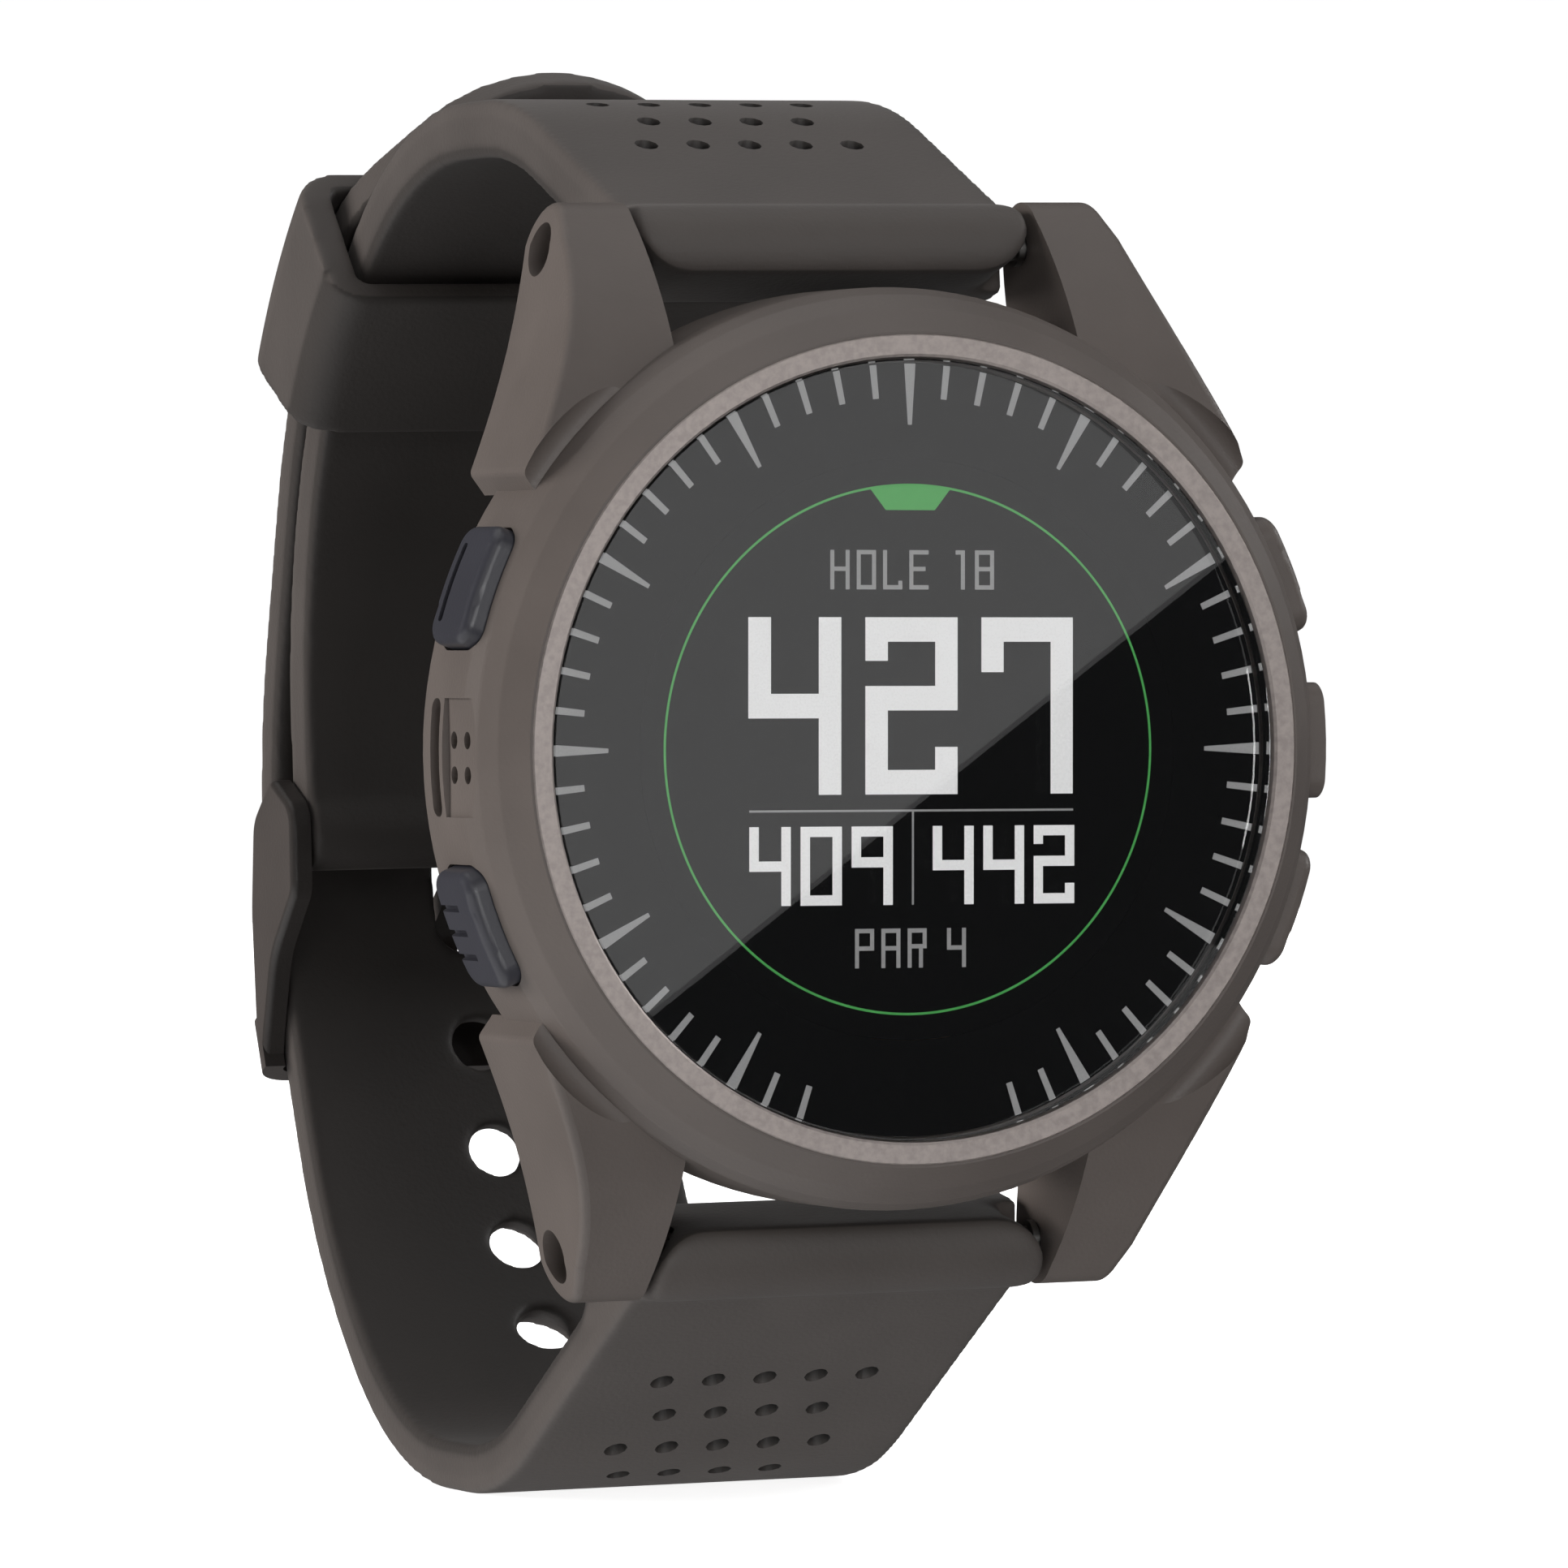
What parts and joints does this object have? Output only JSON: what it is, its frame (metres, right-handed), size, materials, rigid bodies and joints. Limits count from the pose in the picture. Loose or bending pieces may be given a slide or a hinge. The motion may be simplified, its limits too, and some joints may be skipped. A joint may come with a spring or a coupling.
{
  "type": "golf gps watch",
  "caption": "Round sports watch with satellite golf display, side push buttons and a buckled rubber strap closed in a loop.",
  "frame": {"origin": "centre of the case back's outer face", "axes": "-Y out of the dial, +Y towards the wrist, +X to 3 o'clock, +Z to 12 o'clock"},
  "size_m": [0.0433, 0.0621, 0.0691],
  "materials": {
    "case": "fine satin soft-touch",
    "bezel": "bead-blasted, warm tint",
    "glass": "polished",
    "print": "gloss black ink with grey ticks",
    "display": "gloss",
    "gasket": "matt",
    "ribbon": "amber film",
    "black_plastic": "matt",
    "board": "solder mask",
    "antenna": "plated",
    "cell": "foil",
    "motor": "satin",
    "gold": "gold plated",
    "back": "satin",
    "steel": "satin",
    "strap": "matt silicone rubber",
    "buckle": "satin, strap coloured",
    "dark_button": "satin slate blue"
  },
  "bodies": {
    "case": {"case_shell": "case", "bezel_ring": "bezel", "lens": "glass", "printed_mask": "print", "lens_gasket": "gasket", "display_panel": "display", "display_ribbon": "ribbon", "inner_frame": "black_plastic", "main_board": "board", "gps_antenna": "antenna", "battery_cell": "cell", "vibration_motor": "motor", "contact_block": "black_plastic", "charge_contacts": "gold", "case_back": "back", "back_gasket": "gasket", "case_screws": "steel", "button_seals": "gasket", "button_switches": "black_plastic", "upper_spring_bar_tube": "steel", "upper_spring_bar_coil": "steel", "lower_spring_bar_tube": "steel", "lower_spring_bar_coil": "steel"},
    "upper_lug_end": {"upper_strap_lug_end": "strap"},
    "strap_loop": {"upper_strap": "strap", "lower_strap": "strap"},
    "lower_lug_end": {"lower_strap_lug_end": "strap"},
    "keeper": {"keeper_loop": "strap"},
    "buckle": {"buckle_frame": "buckle", "buckle_pin": "steel"},
    "tongue": {"buckle_tongue": "buckle"},
    "upper_left_button": {"upper_left_button": "dark_button", "upper_left_button_clip": "steel"},
    "lower_left_button": {"lower_left_button": "dark_button", "lower_left_button_clip": "steel"},
    "upper_right_button": {"upper_right_button": "case", "upper_right_button_clip": "steel"},
    "lower_right_button": {"lower_right_button": "case", "lower_right_button_clip": "steel"},
    "upper_right_tip": {"upper_spring_bar_right_tip": "steel"},
    "upper_left_tip": {"upper_spring_bar_left_tip": "steel"},
    "lower_right_tip": {"lower_spring_bar_right_tip": "steel"},
    "lower_left_tip": {"lower_spring_bar_left_tip": "steel"}
  },
  "joints": [
    {"name": "strap_sway", "type": "hinge", "parent": "case", "child": "upper_lug_end", "pos_m": [0, -0.00243, 0.02319], "axis": [1, 0, 0], "range_deg": [-6, 6]},
    {"name": "upper_bend", "type": "hinge", "parent": "upper_lug_end", "child": "strap_loop", "pos_m": [0, 0.0171, 0.02955], "axis": [1, 0, 0], "range_deg": [-4.7, 4.7]},
    {"name": "lower_bend", "type": "hinge", "parent": "strap_loop", "child": "lower_lug_end", "pos_m": [0, 0.022, -0.0348], "axis": [1, 0, 0], "range_deg": [-4.2, 4.2]},
    {"name": "keeper_shift", "type": "hinge", "parent": "strap_loop", "child": "keeper", "pos_m": [0, 0.0151, 0.0038], "axis": [1, 0, 0], "range_deg": [-13, 0]},
    {"name": "buckle_lift", "type": "hinge", "parent": "strap_loop", "child": "buckle", "pos_m": [0, 0.0418, -0.0044], "axis": [1, 0, 0], "range_deg": [0, 4]},
    {"name": "tongue_lift", "type": "hinge", "parent": "strap_loop", "child": "tongue", "pos_m": [0, 0.0418, -0.0044], "axis": [1, 0, 0], "range_deg": [0, 4]},
    {"name": "upper_left_press", "type": "slide", "parent": "case", "child": "upper_left_button", "axis": [0.9317, 0, -0.3633], "range_m": [0, 0.0005], "stiffness_N_per_m": 2500, "springref_m": -0.0004},
    {"name": "lower_left_press", "type": "slide", "parent": "case", "child": "lower_left_button", "axis": [0.9317, 0, 0.3633], "range_m": [0, 0.0005], "stiffness_N_per_m": 2500, "springref_m": -0.0004},
    {"name": "upper_right_press", "type": "slide", "parent": "case", "child": "upper_right_button", "axis": [-0.9317, 0, -0.3633], "range_m": [0, 0.0005], "stiffness_N_per_m": 2500, "springref_m": -0.0004},
    {"name": "lower_right_press", "type": "slide", "parent": "case", "child": "lower_right_button", "axis": [-0.9317, 0, 0.3633], "range_m": [0, 0.0005], "stiffness_N_per_m": 2500, "springref_m": -0.0004},
    {"name": "upper_right_tip_slide", "type": "slide", "parent": "case", "child": "upper_right_tip", "axis": [-1, 0, 0], "range_m": [0, 0.0012], "stiffness_N_per_m": 1500, "springref_m": -0.0008},
    {"name": "upper_left_tip_slide", "type": "slide", "parent": "case", "child": "upper_left_tip", "axis": [1, 0, 0], "range_m": [0, 0.0012], "stiffness_N_per_m": 1500, "springref_m": -0.0008},
    {"name": "lower_right_tip_slide", "type": "slide", "parent": "case", "child": "lower_right_tip", "axis": [-1, 0, 0], "range_m": [0, 0.0012], "stiffness_N_per_m": 1500, "springref_m": -0.0008},
    {"name": "lower_left_tip_slide", "type": "slide", "parent": "case", "child": "lower_left_tip", "axis": [1, 0, 0], "range_m": [0, 0.0012], "stiffness_N_per_m": 1500, "springref_m": -0.0008}
  ],
  "couplings": [
    {"joint": "upper_bend", "follows": "strap_sway", "ratio": -0.74781},
    {"joint": "lower_bend", "follows": "strap_sway", "ratio": 0.59782},
    {"joint": "tongue_lift", "follows": "buckle_lift", "ratio": 1}
  ]
}
